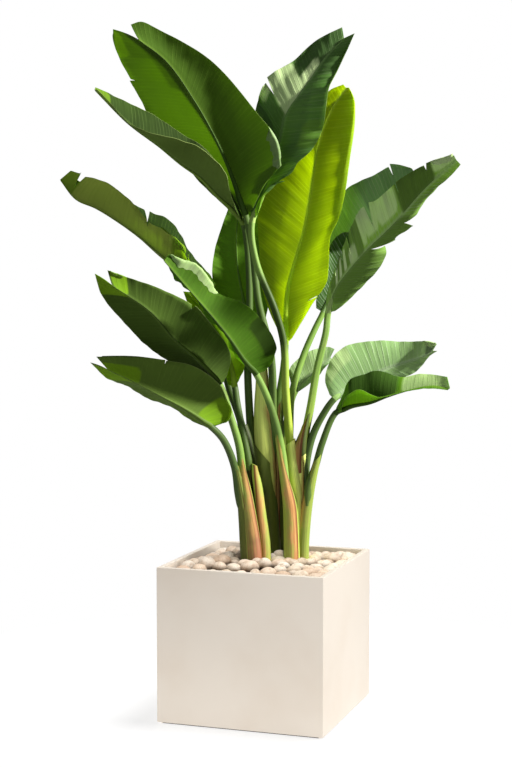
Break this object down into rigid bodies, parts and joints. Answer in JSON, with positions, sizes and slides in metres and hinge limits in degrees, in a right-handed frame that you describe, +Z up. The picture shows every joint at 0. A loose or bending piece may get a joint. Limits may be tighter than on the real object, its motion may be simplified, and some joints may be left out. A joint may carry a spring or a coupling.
{
  "type": "potted bird of paradise plant",
  "caption": "Tall broad-leaved house plant with arching paddle-shaped leaves on long stalks, standing in a plain square planter topped with rounded pebbles.",
  "frame": {"origin": "centre of the planter's flat underside, on the surface it stands on", "axes": "+Z up; +X to the right and -Y to the front of the planter, whose sides are square to both; the leaves fan out in a plane turned 18.9 degrees from X"},
  "size_m": [0.8963, 0.5186, 1.6101],
  "materials": {
    "pot": "matte cream fibreglass",
    "soil": "dark crumbly potting mix",
    "pebble": "smooth tumbled beige stone",
    "sheath": "satin green with pink-brown and orange edges",
    "stalk": "satin light green",
    "blade": "waxy green, glossy above and duller below"
  },
  "bodies": {
    "root": {"pot": "pot", "soil": "soil", "pebbles": "pebble", "shoot_left": "sheath", "shoot_right": "sheath", "shoot_centre": "sheath", "stalk_top_left": "stalk", "blade_top_left": "blade", "stalk_left_folded": "stalk", "blade_left_folded": "blade", "stalk_left_high": "stalk", "blade_left_high": "blade", "stalk_front": "stalk", "blade_front": "blade", "stalk_left_middle": "stalk", "blade_left_middle": "blade", "stalk_left_inner": "stalk", "blade_left_inner": "blade", "stalk_left_low": "stalk", "blade_left_low": "blade", "stalk_top_right": "stalk", "blade_top_right": "blade", "stalk_centre": "stalk", "blade_centre": "blade", "stalk_back_left": "stalk", "blade_back_left": "blade", "stalk_right_torn": "stalk", "blade_right_torn": "blade", "stalk_right_back": "stalk", "blade_right_back": "blade", "stalk_right_low": "stalk", "blade_right_low": "blade", "stalk_right_lowest": "stalk", "blade_right_lowest": "blade", "stalk_inner_right": "stalk", "blade_inner_right": "blade"}
  },
  "joints": []
}
